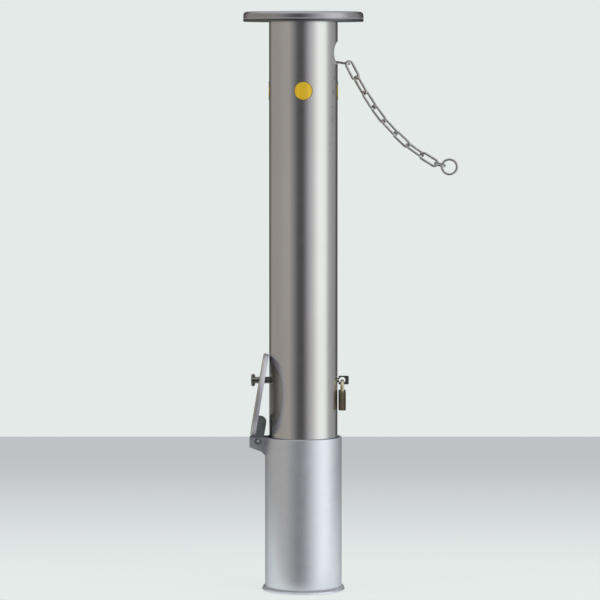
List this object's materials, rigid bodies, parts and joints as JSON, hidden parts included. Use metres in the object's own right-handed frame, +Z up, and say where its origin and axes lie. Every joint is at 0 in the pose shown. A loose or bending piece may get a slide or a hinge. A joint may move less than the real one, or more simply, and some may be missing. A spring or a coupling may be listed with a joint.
{
  "type": "removable bollard",
  "caption": "Removable steel bollard with a flat disc head, standing in a ground sleeve with a hinged lid, lock rod, padlock and chain.",
  "frame": {"origin": "centre of the underside of the ground sleeve's base plate, on the post's axis", "axes": "+Z up along the post, +X towards the side the chain comes out of, -X towards the lid's hinge"},
  "size_m": [0.3184, 0.178, 0.8611],
  "materials": {
    "galvanised": "hot-dip galvanised, matt",
    "pin_steel": "bright plated",
    "post_stainless": "fine lengthwise polish, mirror-like bands",
    "head_stainless": "satin",
    "reflector_yellow": "reflective sheet",
    "rod_stainless": "turned",
    "shackle_metal": "polished",
    "padlock_brass": "satin",
    "chain_stainless": "polished wire"
  },
  "bodies": {
    "sleeve": {"base_plate": "galvanised", "sleeve_tube": "galvanised", "hinge_ear_front": "galvanised", "hinge_ear_back": "galvanised", "hinge_pin": "pin_steel", "pin_clip": "pin_steel"},
    "lid": {"lid_plate": "galvanised", "lid_ring": "galvanised", "lid_arm": "galvanised"},
    "post": {"post_tube": "post_stainless", "head_plate": "head_stainless", "head_cap": "head_stainless", "reflector_front": "reflector_yellow", "reflector_right": "reflector_yellow", "reflector_back": "reflector_yellow", "reflector_left": "reflector_yellow", "chain_hook": "rod_stainless"},
    "lock_rod": {"lock_rod": "rod_stainless", "rod_cross_bar": "rod_stainless"},
    "padlock_shackle": {"padlock_shackle": "shackle_metal"},
    "padlock_body": {"padlock_body": "padlock_brass", "padlock_plug": "padlock_brass"},
    "chain_link_0": {"chain_link_0": "chain_stainless"},
    "chain_link_1": {"chain_link_1": "chain_stainless"},
    "chain_link_2": {"chain_link_2": "chain_stainless"},
    "chain_link_3": {"chain_link_3": "chain_stainless"},
    "chain_link_4": {"chain_link_4": "chain_stainless"},
    "chain_link_5": {"chain_link_5": "chain_stainless"},
    "chain_link_6": {"chain_link_6": "chain_stainless"},
    "chain_link_7": {"chain_link_7": "chain_stainless"},
    "chain_link_8": {"chain_link_8": "chain_stainless"},
    "chain_connector": {"chain_connector": "chain_stainless"},
    "end_ring": {"end_ring": "chain_stainless"}
  },
  "joints": [
    {"name": "lid_swing", "type": "hinge", "parent": "sleeve", "child": "lid", "pos_m": [-0.0673, 0, 0.224], "axis": [0, -1, 0], "range_deg": [0, 3]},
    {"name": "post_lift", "type": "slide", "parent": "sleeve", "child": "post", "axis": [0, 0, 1], "range_m": [0, 0.003]},
    {"name": "lock_rod_slide", "type": "slide", "parent": "post", "child": "lock_rod", "axis": [-1, 0, 0], "range_m": [-0.004, 0.0014]},
    {"name": "padlock_swing", "type": "hinge", "parent": "lock_rod", "child": "padlock_shackle", "pos_m": [0.0578, 0, 0.31222], "axis": [0, -1, 0], "range_deg": [-2, 150]},
    {"name": "padlock_open", "type": "slide", "parent": "padlock_shackle", "child": "padlock_body", "axis": [0, 0, -1], "range_m": [0, 0.009]},
    {"name": "chain_yaw", "type": "hinge", "parent": "post", "child": "chain_link_0", "pos_m": [0.043, 0, 0.7871], "axis": [0, 0, 1], "range_deg": [-20, 20]},
    {"name": "chain_link_1_swing", "type": "hinge", "parent": "chain_link_0", "child": "chain_link_1", "pos_m": [0.06739, 0, 0.78332], "axis": [0, -1, 0], "range_deg": [-25, 60]},
    {"name": "chain_link_2_swing", "type": "hinge", "parent": "chain_link_1", "child": "chain_link_2", "pos_m": [0.07726, 0, 0.76428], "axis": [-0.2298, 0.9659, -0.1191], "range_deg": [-40, 40]},
    {"name": "chain_link_3_swing", "type": "hinge", "parent": "chain_link_2", "child": "chain_link_3", "pos_m": [0.08977, 0, 0.74235], "axis": [-0.6937, -0.6018, -0.3957], "range_deg": [-60, 60]},
    {"name": "chain_link_4_swing", "type": "hinge", "parent": "chain_link_3", "child": "chain_link_4", "pos_m": [0.10525, 0, 0.71776], "axis": [0.5154, 0.766, 0.3841], "range_deg": [-60, 60]},
    {"name": "chain_link_5_swing", "type": "hinge", "parent": "chain_link_4", "child": "chain_link_5", "pos_m": [0.11807, 0, 0.70056], "axis": [-0.5154, -0.766, -0.3841], "range_deg": [-60, 60]},
    {"name": "chain_link_6_swing", "type": "hinge", "parent": "chain_link_5", "child": "chain_link_6", "pos_m": [0.13784, 0, 0.67928], "axis": [0.3877, 0.829, 0.4029], "range_deg": [-60, 60]},
    {"name": "chain_link_7_swing", "type": "hinge", "parent": "chain_link_6", "child": "chain_link_7", "pos_m": [0.1533, 0, 0.66441], "axis": [-0.3877, -0.829, -0.4029], "range_deg": [-60, 60]},
    {"name": "chain_link_8_swing", "type": "hinge", "parent": "chain_link_7", "child": "chain_link_8", "pos_m": [0.17695, 0, 0.64754], "axis": [0.1619, 0.9511, 0.2632], "range_deg": [-60, 60]},
    {"name": "chain_connector_swing", "type": "hinge", "parent": "chain_link_8", "child": "chain_connector", "pos_m": [0.19522, 0, 0.6363], "axis": [-0.1619, -0.9511, -0.2632], "range_deg": [-60, 60]},
    {"name": "end_ring_swing", "type": "hinge", "parent": "chain_connector", "child": "end_ring", "pos_m": [0.20946, 0, 0.63267], "axis": [0.0313, 0.9903, 0.1356], "range_deg": [-60, 60]}
  ]
}
